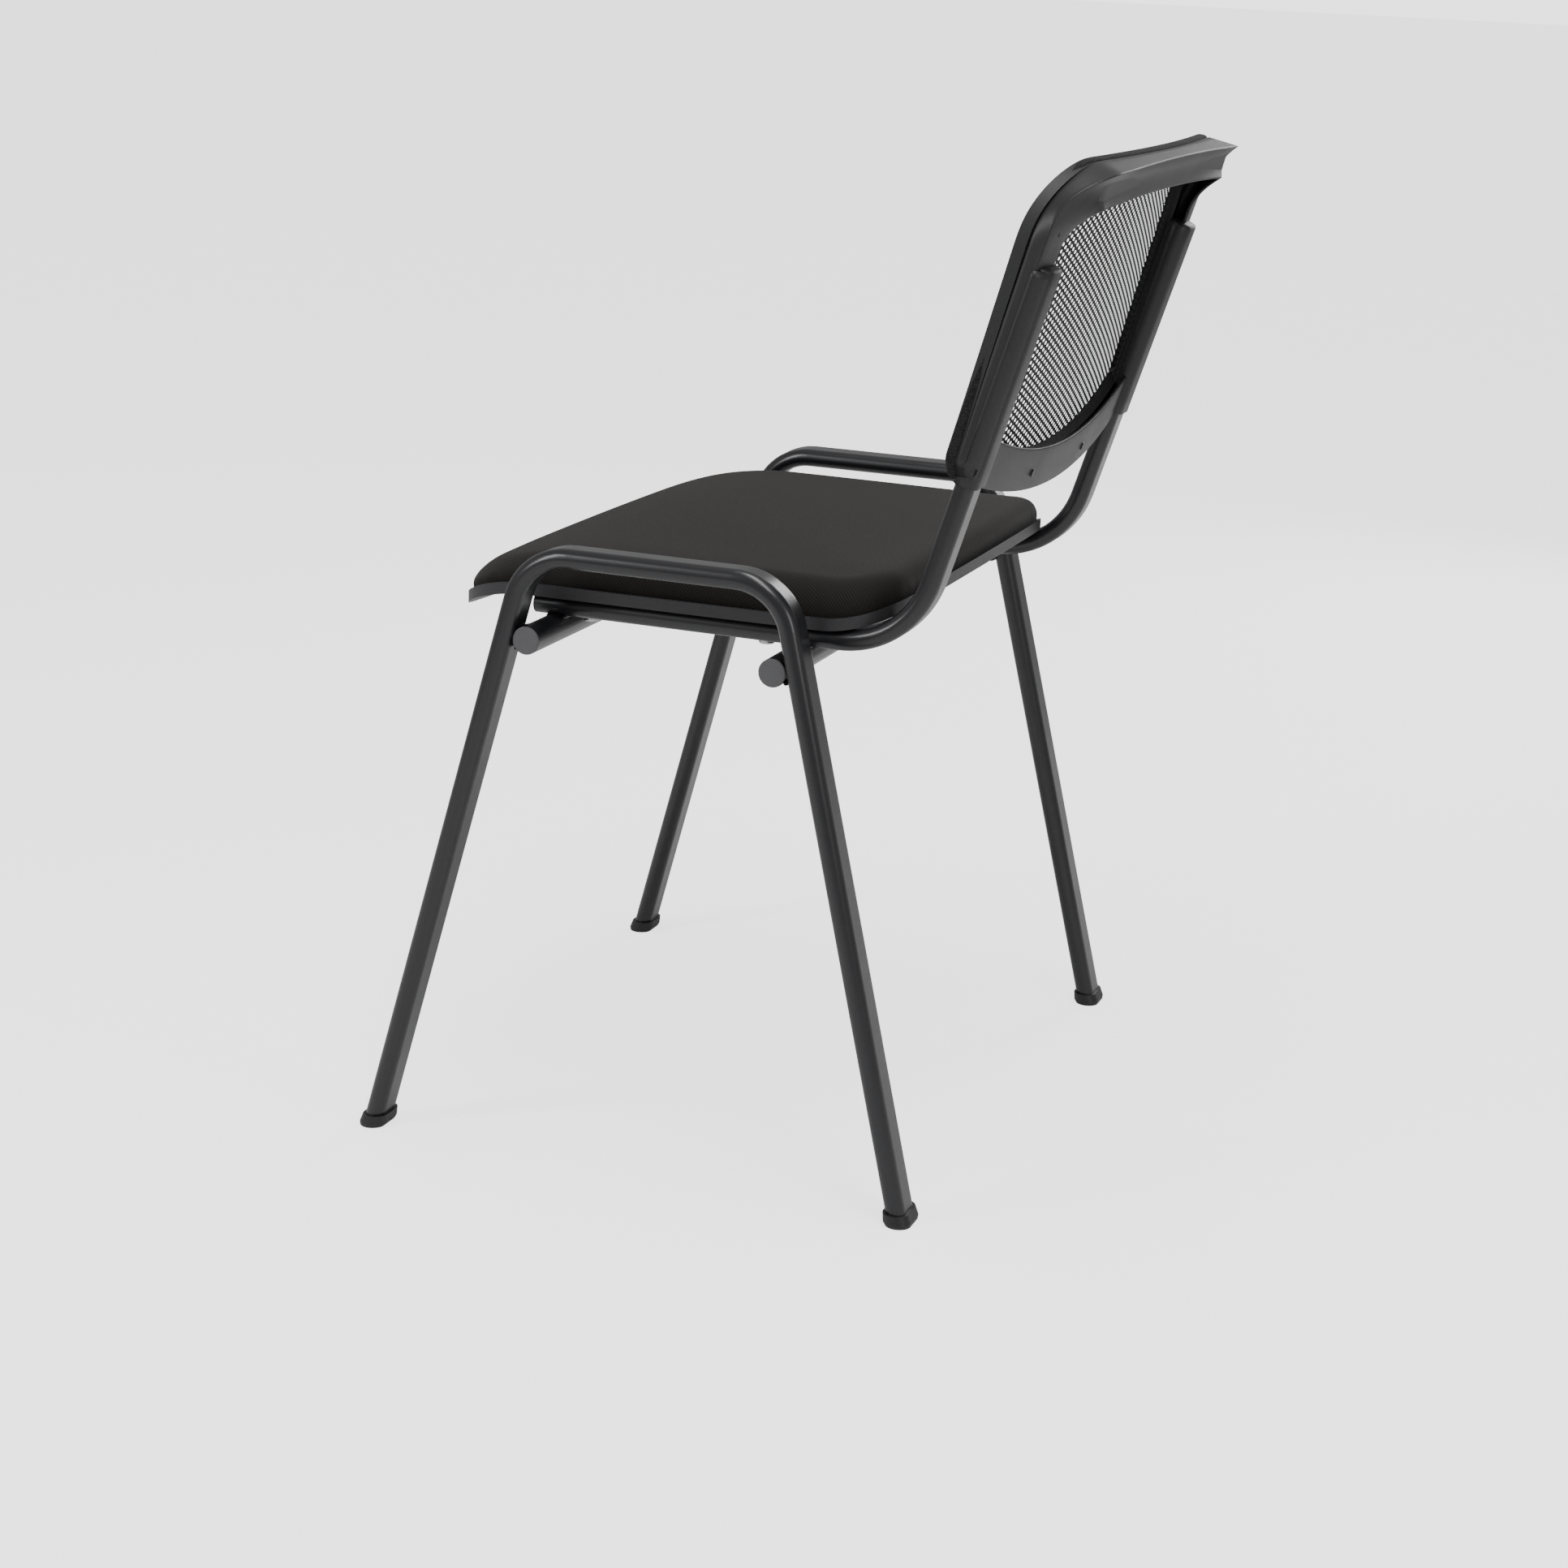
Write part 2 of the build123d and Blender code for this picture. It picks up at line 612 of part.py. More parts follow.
def carrier_screws():
    """Screws from behind, through the bosses and into the carrier."""
    with BuildPart() as screws:
        for across, up, shank_end, head_at in carrier_screw_spans():
            for side in (-1, 1):
                at = PROFILE.from_local_coords(Vector(shank_end, up, side * across))
                with BuildSketch(Plane(at, x_dir=(1, 0, 0), z_dir=REARWARD)):
                    Circle(CARRIER_SCREW_R)
                extrude(amount=head_at - shank_end)
                at = PROFILE.from_local_coords(Vector(head_at, up, side * across))
                with BuildSketch(Plane(at, x_dir=(1, 0, 0), z_dir=REARWARD)):
                    Circle(CARRIER_HEAD_R)
                    Rectangle(3.6, 0.9, mode=Mode.SUBTRACT)
                extrude(amount=CARRIER_HEAD)
                with BuildSketch(Plane(at, x_dir=(1, 0, 0), z_dir=REARWARD)):
                    Circle(CARRIER_HEAD_R)
                extrude(amount=CARRIER_HEAD / 2)
    return screws.part


def carrier_screw_spans():
    """Each carrier screw: across, up, and where its shank ends and its head sits along n."""
    spans = []
    for across, up in CARRIER_SCREWS:
        dish_here = DISH - across**2 / (2 * DISH_R)
        lean_here = (ROLL_START - up) * tan(radians(FACE_LEAN))
        spans.append((across, up, SEAM_N + dish_here + lean_here - 5.0, RING_REAR_N + DISH + 1.0))
    return spans


def sleeve_screws():
    """One screw from each outer side, through the sleeve and into the upright."""
    head_at = UPRIGHT_X + TUBE_WIDE / 2 + SLEEVE_GAP + SLEEVE_WALL
    with BuildPart() as screws:
        with BuildSketch(*sleeve_screw_planes(UPRIGHT_X + TUBE_WIDE / 2 - 6)):
            Circle(SLEEVE_SCREW_R)
        extrude(amount=head_at - (UPRIGHT_X + TUBE_WIDE / 2 - 6))
        with BuildSketch(*sleeve_screw_planes(head_at)):
            Circle(SLEEVE_HEAD_R)
        extrude(amount=SLEEVE_HEAD)
    return screws.part


def mesh_carrier():
    with BuildPart() as carrier:
        add(dished(FACE_N + MESH_THICK, SEAM_N))
        add(plate(back_outline(MESH_THICK)), mode=Mode.INTERSECT)
        add(plate(back_outline(CARRIER_WIDTH)), mode=Mode.SUBTRACT)
        add(sleeve_space(), mode=Mode.SUBTRACT)
        for across, up, shank_end, _ in carrier_screw_spans():
            for side in (-1, 1):
                at = PROFILE.from_local_coords(Vector(shank_end, up, side * across))
                with BuildSketch(Plane(at, x_dir=(1, 0, 0), z_dir=REARWARD)):
                    Circle(CARRIER_SCREW_R)
                extrude(amount=CARRIER_WIDTH, mode=Mode.SUBTRACT)
    return carrier.part


def back_mesh():
    with BuildPart() as mesh:
        add(dished(FACE_N, SEAM_N))
        add(plate(back_outline(0)), mode=Mode.INTERSECT)
        inside = dished(FACE_N + MESH_THICK, SEAM_N + 5)
        add(inside & plate(back_outline(MESH_THICK)), mode=Mode.SUBTRACT)
        add(sleeve_space(), mode=Mode.SUBTRACT)
    return mesh.part


# ================================================================ write the parts
SIDES = {"left": 1, "right": -1}
ENDS = {"front": -1, "rear": 1}

for side_name, side in SIDES.items():
    save(f"leg_frame_{side_name}", leg_frame(side))
    save(f"upright_tube_{side_name}", upright_tube(side))
    save(f"upright_plug_{side_name}", upright_plug(side))
    for end_name, end in ENDS.items():
        save(f"glide_{end_name}_{side_name}", glide(side, end))
        save(f"cross_cap_{end_name}_{side_name}", cross_cap(side, end))
for end_name, end in ENDS.items():
    save(f"{end_name}_cross_tube", cross_tube(end))
save("seat_shell", seat_shell())
save("seat_board", seat_board())
save("seat_foam", seat_foam())
save("seat_cover", seat_cover())
save("seat_screws", seat_screws())
save("seat_nuts", seat_nuts())
save("back_frame", back_frame())
save("mesh_carrier", mesh_carrier())
save("back_mesh", back_mesh())
save("carrier_screws", carrier_screws())
save("sleeve_screws", sleeve_screws())
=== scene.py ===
"""Looks of the stacking chair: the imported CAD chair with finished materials, a stretched and
perforated mesh back in its moulded frame, a padded seat and the weld beads.

Metres, in the chair's own frame: +Z up, the sitter faces -Y, the floor at z 0.
"""

import math

import bmesh
import bpy
from mathutils import Matrix, Vector, geometry


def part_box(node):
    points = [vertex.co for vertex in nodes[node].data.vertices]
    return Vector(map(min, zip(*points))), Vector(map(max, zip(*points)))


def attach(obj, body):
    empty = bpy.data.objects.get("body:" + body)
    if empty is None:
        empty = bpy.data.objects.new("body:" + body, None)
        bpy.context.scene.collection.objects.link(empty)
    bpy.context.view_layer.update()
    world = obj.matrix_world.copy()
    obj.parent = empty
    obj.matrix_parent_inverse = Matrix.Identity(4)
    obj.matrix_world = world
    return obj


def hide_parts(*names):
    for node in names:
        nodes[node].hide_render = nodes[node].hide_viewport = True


# ---------------------------------------------------------------- the back's slope
TILT = math.radians(16.5)         # the uprights lean back by this
SLOPE_Y = 0.1734                  # where the slope starts, on the uprights' axes
SLOPE_Z = 0.5335
UPRIGHT_X = 0.2

# ---------------------------------------------------------------- the back's outline
HALF_TOP = 0.225
HALF_LOW = 0.227
HIGH = 0.242                      # top edge at the middle, up the slope
TOP_DROP = 0.005                  # lower than that at the corners
BOTTOM = -0.022
TOE = 0.005                       # bottom corners
CHAMFER = 0.015
CORNER_R = 0.064
CREASE_R = 0.046                  # the frame's rear edge turns the top corners more tightly
TOP_STEPS = 30                    # points along half of the top, each corner, side and half bottom
CORNER_STEPS = 16
SIDE_STEPS = 40
BOTTOM_STEPS = 30

# ---------------------------------------------------------------- the back's depth, rearward
FACE = -0.0223                    # front of the mesh at the sides
SEAM = -0.0129                    # where the mesh's edge meets the moulded frame
RING_REAR = -0.0002
LIP = 0.0245                      # rear edge of the top bar
LIP_LOW = 0.0205
DISH = 0.013                      # the middle lies further back than the sides
DISH_R = 1.95
LEAN = math.tan(math.radians(1.8))
ROLL_START = 0.185
ROLL_R = 0.14
RING_WIDTH = 0.033                # width of the moulded frame from behind
BAR_HEIGHT = 0.027
LIP_RISE = (0.200, 0.239)         # the rear edge runs out to the lip between these, up the slope
RIM_RISE = (0.176, 0.211)         # and so does the inner rim
SIDE_TOP = 0.176                  # the straight sides, up the slope
SIDE_LENGTH = 0.156
CARRIER_SCREWS = ((0.206, 0.190), (0.070, -0.005))   # across, up; both sides
WALL = 0.0025
SCREW_HEAD_R = 0.0033
SCREW_CROWN_R = 0.0026
SCREW_HEAD_DEPTH = 0.0015

# ---------------------------------------------------------------- the mesh
BORDER = 0.0265                   # doubled border along the front edge
ROW_PITCH = 0.0136                # from hole to hole along a row; the next row lies halfway
COLUMN_PITCH = 0.0053
HOLE_HALF_WIDE = 0.00225
HOLE_HALF_HIGH = 0.00138
MESH_DEPTH = 0.00030
YARN_BEVEL = 0.0001
MESH_SET_BACK = 0.0005            # behind the border's face
MESH_UNDER_BORDER = 0.0035        # the sheet reaches this far under the border
MESH_COLUMNS = 18                 # to each side of the middle
STITCH_PITCH = 0.0042
STITCH_IN = 0.0022                # from the border's inner edge
STITCH_BASE = -0.00015            # from the border's face, rearward
STITCH = (                        # one stitch's corners: along, across, rearward
    (-0.0013, 0, 0.0002),
    (-0.0007, -0.0005, 0.0001), (-0.0007, 0, -0.0005), (-0.0007, 0.0005, 0.0001),
    (0.0007, -0.0005, 0.0001), (0.0007, 0, -0.0005), (0.0007, 0.0005, 0.0001),
    (0.0013, 0, 0.0002),
)
STITCH_FACES = ((0, 1, 2), (0, 2, 3), (1, 4, 5, 2), (2, 5, 6, 3), (4, 7, 5), (5, 7, 6))

# ---------------------------------------------------------------- sleeves on the uprights
SLEEVE_WIDE = 0.0344
SLEEVE_THIN = 0.0194
SLEEVE_LOW = 0.003
SLEEVE_HIGH = 0.165
SLEEVE_STEPS = 12
OVAL_POINTS = 36
FAIRING_LOW = 0.0055
FAIRING_HIGH = SLEEVE_HIGH - 0.0015
FAIRING_STEPS = 32
FAIRING_POINTS = 9

# ---------------------------------------------------------------- seat
SHELL_UNDER_Z = 0.422
SEAT_MID_Y = -0.0403
SEAT_FLAT = (-0.114, 0.114)       # the shell is flat between these, from the middle
WATERFALL_R = 0.125
KICK_R = 0.11
CUSHION_START = -0.060            # ahead of this the cushion's top slopes down
CUSHION_R = 0.29
RIM = 0.009                       # the shell's rim, above its underside
BOARD_TOP = 0.012
CUSHION_TOP = 0.0345              # the padding's top near the sides, above the same
CUSHION_ROUND = 0.027             # width of the rounded edge
CUSHION_CROWN = 0.0045
CUSHION_IN = 0.0012               # the underside's edge, in from the outline
CUSHION_SETTLE = 0.0004           # the flat top starts this much above the padding's edge
CUSHION_FORWARD = 0.012           # the crown's middle, ahead of the seat's
CROWN_HALF_WIDE = 0.215
CROWN_HALF_LONG = 0.185
GATHER = 0.0004                   # depth of the small gathers in the cloth round the rim
GATHER_HEIGHT = 0.006             # they lie this high above the rim
SEAT_POINTS = 288                 # round the outline
EDGE_STEPS = 18                   # up the rounded edge
TOP_RINGS = 14                    # from the edge to the middle, above and below
UNDER_RINGS = 10

# ---------------------------------------------------------------- welds
LEG_WELD = (0.2415, 0.2605)       # from and to, across
LEG_WELD_R = 0.0023
UPRIGHT_WELD_HALF = 0.0125
UPRIGHT_WELD_R = 0.0021
WELD_STEPS = 24
WELD_SIDES = 10

# ---------------------------------------------------------------- studio
FLOOR_SIZE = 80
FLOOR_GLOW = 1.9                  # only for what the camera sees
WORLD_LIGHT = 0.38
WORLD_SEEN = 2.6
LIGHTS = (                        # name, place, aim, size, power
    ("overhead", (0.5, 0.3, 2.4), (0, 0, 0.4), (0.5, 2.2), 30),
    ("key", (1.9, -1.6, 1.7), (0, 0, 0.45), (0.5, 1.5), 26),
    ("rear_fill", (1.2, 2.4, 1.3), (0, 0, 0.45), (0.9, 1.2), 12),
    ("far_side", (-2.4, 0.4, 1.2), (0, 0, 0.5), (0.6, 1.4), 14),
)

# ---------------------------------------------------------------- camera
CAMERA_AT = Vector((2.2130, 0.7781, 0.9117))
CAMERA_TO = Vector((0.0417, -0.0117, 0.2507))
CAMERA_ROLL = math.radians(2.5)
CAMERA_LENS = 69.3
CAMERA_SENSOR = 36


# ================================================================ small helpers
def slope(across, up, rearward):
    """A point on the back: across is +X, up runs up the uprights, rearward is square to them."""
    return Vector((
        across,
        SLOPE_Y + rearward * math.cos(TILT) + up * math.sin(TILT),
        SLOPE_Z - rearward * math.sin(TILT) + up * math.cos(TILT),
    ))


def dish(across):
    return DISH - across * across / (2 * DISH_R)


def face_shape(across, up):
    """How far rearward the face lies of its place at the sides: dish, lean and roll."""
    if up < ROLL_START:
        return dish(across) + (ROLL_START - up) * LEAN
    above = up - ROLL_START
    return dish(across) - above * LEAN + above * above / (2 * ROLL_R)


def smooth(low, high, value):
    """0 below low, 1 above high, and a smooth step between."""
    part = min(max((value - low) / (high - low), 0), 1)
    return part * part * (3 - 2 * part)


def new_object(name, verts, faces, made, smooth_shade=True):
    mesh = bpy.data.meshes.new(name)
    mesh.from_pydata([tuple(v) for v in verts], [], faces)
    mesh.materials.append(made)
    obj = bpy.data.objects.new(name, mesh)
    bpy.context.scene.collection.objects.link(obj)
    if smooth_shade:
        for polygon in mesh.polygons:
            polygon.use_smooth = True
    return obj


def loft(sections, closed_path, closed_section=False):
    """Vertices and quads that join equal sections one after the other."""
    size = len(sections[0])
    verts = [v for section in sections for v in section]
    faces = []
    for i in range(len(sections) if closed_path else len(sections) - 1):
        here = i * size
        there = (i + 1) % len(sections) * size
        for j in range(size if closed_section else size - 1):
            k = (j + 1) % size
            faces.append((here + j, here + k, there + k, there + j))
    return verts, faces


def corner(before, at, after, reach):
    """A small round between two straight edges."""
    start = at + (before - at).normalized() * reach
    end = at + (after - at).normalized() * reach
    return [start.lerp(at, s).lerp(at.lerp(end, s), s) for s in (0, 0.25, 0.5, 0.75, 1)]


def outline(inset, top_inset=None, corner_r=CORNER_R):
    """The back's outline as (across, up), inset all round; always the same number of points."""
    half_top = HALF_TOP - inset
    half_low = HALF_LOW - inset
    high = HIGH - (inset if top_inset is None else top_inset)
    radius = max(corner_r - inset, 0.014)
    toe = TOE + inset
    cut = max(CHAMFER - 0.6 * inset, 0.002)
    bottom = BOTTOM + inset

    def top(x):
        return high - TOP_DROP * (x / half_top) ** 2

    bend_x = half_top - radius
    bend_slope = 2 * TOP_DROP * bend_x / half_top**2
    centre = Vector((bend_x - radius * math.sin(bend_slope), top(bend_x) - radius))
    half = [Vector((bend_x * i / TOP_STEPS, top(bend_x * i / TOP_STEPS))) for i in range(TOP_STEPS)]
    for i in range(CORNER_STEPS + 1):
        angle = bend_slope + (math.pi / 2 - bend_slope) * i / CORNER_STEPS
        half.append(centre + radius * Vector((math.sin(angle), math.cos(angle))))
    side_top = half[-1]
    side_low = Vector((half_low, toe + cut))
    heel = Vector((half_low - cut, toe))
    half += [side_top.lerp(side_low, i / SIDE_STEPS) for i in range(1, SIDE_STEPS - 1)]
    half += corner(side_top, side_low, heel, 0.3 * cut)
    inner = Vector((0, bottom))
    half += corner(side_low, heel, inner, 0.3 * cut)
    reach = half[-1].x
    for i in range(1, BOTTOM_STEPS + 1):
        x = reach * (1 - i / BOTTOM_STEPS)
        half.append(Vector((x, bottom + (toe - bottom) * (x / reach) ** 2)))
    mirrored = [Vector((-p.x, p.y)) for p in reversed(half[1:-1])]
    return half + mirrored


def inside_outline(points, x, up):
    """True if a place lies inside a closed outline."""
    found = False
    for a, b in zip(points, points[1:] + points[:1]):
        if (a.y > up) != (b.y > up) and x < a.x + (up - a.y) * (b.x - a.x) / (b.y - a.y):
            found = not found
    return found


# ================================================================ materials
def material(name, colour, roughness, **inputs):
    """A Principled material; inputs are socket names with _ for spaces."""
    made = bpy.data.materials.new(name)
    made.use_nodes = True
    shader = made.node_tree.nodes["Principled BSDF"]
    shader.inputs["Base Color"].default_value = (*colour, 1)
    shader.inputs["Roughness"].default_value = roughness
    for key, value in inputs.items():
        shader.inputs[key.replace("_", " ")].default_value = value
    return made


def node(made, kind, place=(0, 0), **settings):
    added = made.node_tree.nodes.new(kind)
    added.location = place
    for key, value in settings.items():
        setattr(added, key, value)
    return added


def link(made, out, into):
    made.node_tree.links.new(out, into)


def object_coordinates(made, scale=(1, 1, 1), rotation=(0, 0, 0)):
    """The piece's own place in metres, scaled."""
    source = node(made, "ShaderNodeTexCoord", (-1400, 0))
    mapping = node(made, "ShaderNodeMapping", (-1200, 0))
    mapping.inputs["Scale"].default_value = scale
    mapping.inputs["Rotation"].default_value = rotation
    link(made, source.outputs["Object"], mapping.inputs["Vector"])
    return mapping.outputs["Vector"]


def grain_group():
    """The uneven surface that the materials share: a noise with its own scale and detail."""
    group = bpy.data.node_groups.new("grain", "ShaderNodeTree")
    group.interface.new_socket("Vector", in_out="INPUT", socket_type="NodeSocketVector")
    group.interface.new_socket("Scale", in_out="INPUT", socket_type="NodeSocketFloat")
    group.interface.new_socket("Detail", in_out="INPUT", socket_type="NodeSocketFloat")
    group.interface.new_socket("Height", in_out="OUTPUT", socket_type="NodeSocketFloat")
    given = group.nodes.new("NodeGroupInput")
    texture = group.nodes.new("ShaderNodeTexNoise")
    result = group.nodes.new("NodeGroupOutput")
    given.location = (-300, 0)
    result.location = (300, 0)
    for name in ("Vector", "Scale", "Detail"):
        group.links.new(given.outputs[name], texture.inputs[name])
    group.links.new(texture.outputs["Fac"], result.inputs["Height"])
    return group


def noise(made, vector, scale, detail=3.0, place=(-900, 0)):
    added = node(made, "ShaderNodeGroup", place, node_tree=bpy.data.node_groups["grain"])
    added.inputs["Scale"].default_value = scale
    added.inputs["Detail"].default_value = detail
    link(made, vector, added.inputs["Vector"])
    return added.outputs["Height"]


def spread(made, value, low, high, place=(-600, 0)):
    """A value from 0..1 spread over low..high."""
    added = node(made, "ShaderNodeMapRange", place)
    added.inputs["To Min"].default_value = low
    added.inputs["To Max"].default_value = high
    link(made, value, added.inputs["Value"])
    return added.outputs["Result"]


def add_bump(made, height, strength, distance):
    added = node(made, "ShaderNodeBump", (-200, -300))
    added.inputs["Strength"].default_value = strength
    added.inputs["Distance"].default_value = distance
    link(made, height, added.inputs["Height"])
    link(made, added.outputs["Normal"], made.node_tree.nodes["Principled BSDF"].inputs["Normal"])


def tint(made, factor, dark, light, place=(-400, 200)):
    """The base colour runs from dark to light with a factor."""
    added = node(made, "ShaderNodeMix", place, data_type="RGBA")
    added.inputs[6].default_value = (*dark, 1)
    added.inputs[7].default_value = (*light, 1)
    link(made, factor, added.inputs[0])
    link(made, added.outputs[2], made.node_tree.nodes["Principled BSDF"].inputs["Base Color"])


def powder_coat():
    made = material("powder_coat", (0.010, 0.010, 0.012), 0.3, Coat_Weight=0.3, Coat_Roughness=0.16)
    vector = object_coordinates(made)
    broad = noise(made, vector, 30, 2, (-900, 200))
    rough = spread(made, broad, 0.25, 0.37)
    link(made, rough, made.node_tree.nodes["Principled BSDF"].inputs["Roughness"])
    add_bump(made, noise(made, vector, 1400, 2, (-900, -300)), 0.12, 0.0004)
    return made


def moulded(name, dark, light, low, high, grain=1800, strength=0.25):
    """Moulded plastic with a fine spark-eroded grain and a slightly uneven sheen."""
    made = material(name, light, high)
    vector = object_coordinates(made)
    broad = noise(made, vector, 14, 3, (-900, 200))
    tint(made, broad, dark, light)
    link(made, spread(made, broad, low, high), made.node_tree.nodes["Principled BSDF"].inputs["Roughness"])
    add_bump(made, noise(made, vector, grain, 2, (-900, -300)), strength, 0.0003)
    return made


def seat_fabric():
    """A ribbed twill: diagonal ribs, broken up by the yarns that cross them."""
    made = material("seat_fabric", (0.02, 0.018, 0.017), 0.9, Sheen_Weight=0.06, Specular_IOR_Level=0.2)
    source = node(made, "ShaderNodeTexCoord", (-1400, 0))
    mapping = node(made, "ShaderNodeMapping", (-1200, 0))
    mapping.inputs["Rotation"].default_value = (0, 0, math.radians(38))
    link(made, source.outputs["UV"], mapping.inputs["Vector"])
    turned = mapping.outputs["Vector"]
    ribs = node(made, "ShaderNodeTexWave", (-900, 200), wave_type="BANDS", bands_direction="X")
    ribs.inputs["Scale"].default_value = 155
    ribs.inputs["Distortion"].default_value = 0.5
    ribs.inputs["Detail"].default_value = 1.5
    ribs.inputs["Detail Scale"].default_value = 4.0
    link(made, turned, ribs.inputs["Vector"])
    yarns = node(made, "ShaderNodeTexWave", (-900, -100), wave_type="BANDS", bands_direction="Y")
    yarns.inputs["Scale"].default_value = 300
    yarns.inputs["Distortion"].default_value = 1.5
    yarns.inputs["Detail"].default_value = 1.0
    link(made, turned, yarns.inputs["Vector"])
    both = node(made, "ShaderNodeMath", (-650, 100), operation="MULTIPLY_ADD")
    both.inputs[1].default_value = 0.35
    link(made, yarns.outputs["Fac"], both.inputs[0])
    link(made, ribs.outputs["Fac"], both.inputs[2])
    patchy = noise(made, turned, 22, 5, (-900, -400))
    worn = node(made, "ShaderNodeMath", (-500, 250), operation="MULTIPLY")
    link(made, both.outputs[0], worn.inputs[0])
    link(made, spread(made, patchy, 0.7, 1.1, (-650, -400)), worn.inputs[1])
    tint(made, worn.outputs[0], (0.0038, 0.0033, 0.0030), (0.0185, 0.0162, 0.0145))
    add_bump(made, both.outputs[0], 0.35, 0.0004)
    return made


def knit(name, dark, light, scale, strength):
    """The mesh fabric where it is doubled: a regular field of small closed loops."""
    made = material(name, light, 0.85, Sheen_Weight=0.05, Sheen_Roughness=0.5, Specular_IOR_Level=0.2)
    vector = object_coordinates(made)
    cells = node(made, "ShaderNodeTexVoronoi", (-900, 200), feature="F1")
    cells.inputs["Scale"].default_value = scale
    cells.inputs["Randomness"].default_value = 0.55
    link(made, vector, cells.inputs["Vector"])
    loops = spread(made, cells.outputs["Distance"], 1.0, 0.0)
    tint(made, loops, dark, light)
    add_bump(made, loops, strength, 0.0008)
    return made


def plain_mesh_fabric():
    return material("mesh_yarn", (0.009, 0.009, 0.010), 0.75, Sheen_Weight=0.08, Specular_IOR_Level=0.25)


def foam():
    made = material("cut_foam", (0.55, 0.50, 0.36), 0.95)
    add_bump(made, noise(made, object_coordinates(made), 900, 2), 0.4, 0.001)
    return made


def plywood():
    made = material("birch_plywood", (0.5, 0.33, 0.17), 0.6)
    grain = noise(made, object_coordinates(made, scale=(6, 60, 60)), 6, 6)
    tint(made, grain, (0.42, 0.26, 0.12), (0.60, 0.42, 0.24))
    return made


def zinc():
    made = material("zinc_plate", (0.55, 0.55, 0.57), 0.32, Metallic=1.0)
    link(
        made,
        spread(made, noise(made, object_coordinates(made), 160, 3), 0.24, 0.42),
        made.node_tree.nodes["Principled BSDF"].inputs["Roughness"],
    )
    return made


# ================================================================ back
def ring_loft(name, sections_at, made):
    """A closed ring round the back: sections_at gives the outlines with their depths."""
    rows = []
    for points, depth in sections_at:
        rows.append([slope(p.x, p.y, depth(p)) for p in points])
    count = len(rows[0])
    sections = [[row[i] for row in rows] for i in range(count)]
    verts, faces = loft(sections, closed_path=True)
    return new_object(name, verts, faces, made)


def face_at(base):
    return lambda p: base + face_shape(p.x, p.y)


def mesh_border(made):
    """The doubled mesh along the front edge, wrapped round the carrier's side."""
    round_r = 0.0035
    steps = [(BORDER, 0.0004), (BORDER - 0.0006, 0.0), (0.014, -0.0002), (0.006, 0.0001)]
    for i in range(7):
        angle = math.pi / 2 * i / 6
        steps.append((round_r * (1 - math.sin(angle)), round_r * (1 - math.cos(angle))))
    deep = SEAM - FACE
    steps += [(-0.0003, deep * 0.6), (0.0, deep - 0.0016), (0.0007, deep - 0.0006), (0.003, deep - 0.0003)]
    return ring_loft("mesh_border", [(outline(a), face_at(FACE + b)) for a, b in steps], made)


def perforated_mesh(made):
    """The see-through sheet: a flat hexagon of yarn round each wide hole, front and rear."""
    edge = outline(BORDER - MESH_UNDER_BORDER)
    widest = (ROW_PITCH**2 + COLUMN_PITCH**2) / (4 * ROW_PITCH)
    top = widest - COLUMN_PITCH**2 / (2 * ROW_PITCH)
    half = COLUMN_PITCH / 2
    corners = [(widest, 0), (top, half), (-top, half), (-widest, 0), (-top, -half), (top, -half)]
    cell = []
    for a, b in zip(corners, corners[1:] + corners[:1]):
        cell += [a, ((a[0] + b[0]) / 2, (a[1] + b[1]) / 2)]
    hole = []
    for x, up in cell:
        angle = math.atan2(up / half, x / widest)
        hole.append((HOLE_HALF_WIDE * math.cos(angle), HOLE_HALF_HIGH * math.sin(angle)))
    verts, faces, found = [], [], {}

    def ring(x, up, points, depth):
        """The numbers of the vertices round one hole or cell; neighbours share theirs."""
        indices = []
        for a, b in points:
            key = (round(x + a, 6), round(up + b, 6), depth)
            if key not in found:
                found[key] = len(verts)
                rearward = FACE + MESH_SET_BACK + depth + face_shape(x + a, up + b)
                verts.append(slope(x + a, up + b, rearward))
            indices.append(found[key])
        return indices

    for row in range(int(BOTTOM / half) - 1, int(HIGH / half) + 1):
        for column in range(-MESH_COLUMNS, MESH_COLUMNS + 1):
            x = (column + 0.5 * (row % 2)) * ROW_PITCH
            up = row * half
            if not inside_outline(edge, x, up):
                continue
            rings = [
                ring(x, up, cell, 0.0), ring(x, up, hole, YARN_BEVEL),
                ring(x, up, hole, MESH_DEPTH - YARN_BEVEL), ring(x, up, cell, MESH_DEPTH),
            ]
            for near, far in zip(rings, rings[1:]):
                for k in range(len(cell)):
                    n = (k + 1) % len(cell)
                    faces.append((near[k], near[n], far[n], far[k]))
    return new_object("back_mesh_sheet", verts, faces, made, smooth_shade=False)


def border_stitches(made):
    """A line of short stitches near the border's inner edge."""
    points = outline(BORDER - STITCH_IN)
    verts, faces = [], []
    carried = 0.0
    for a, b in zip(points, points[1:] + points[:1]):
        length = (b - a).length
        along = (b - a).normalized()
        side = Vector((-along.y, along.x))
        while carried < length:
            at = a + along * carried
            base = FACE + STITCH_BASE
            start = len(verts)
            for along_part, side_part, rise in STITCH:
                p = at + along * along_part + side * side_part
                verts.append(slope(p.x, p.y, base + rise + face_shape(p.x, p.y)))
            faces += [tuple(start + k for k in face) for face in STITCH_FACES]
            carried += STITCH_PITCH
        carried -= length
    return new_object("border_stitches", verts, faces, made)


def lip_rise(up, low, high):
    """From 0 on the sides to 1 on the top bar, more and more steeply round the corner."""
    return min(max((up - low) / (high - low), 0), 1) ** 2


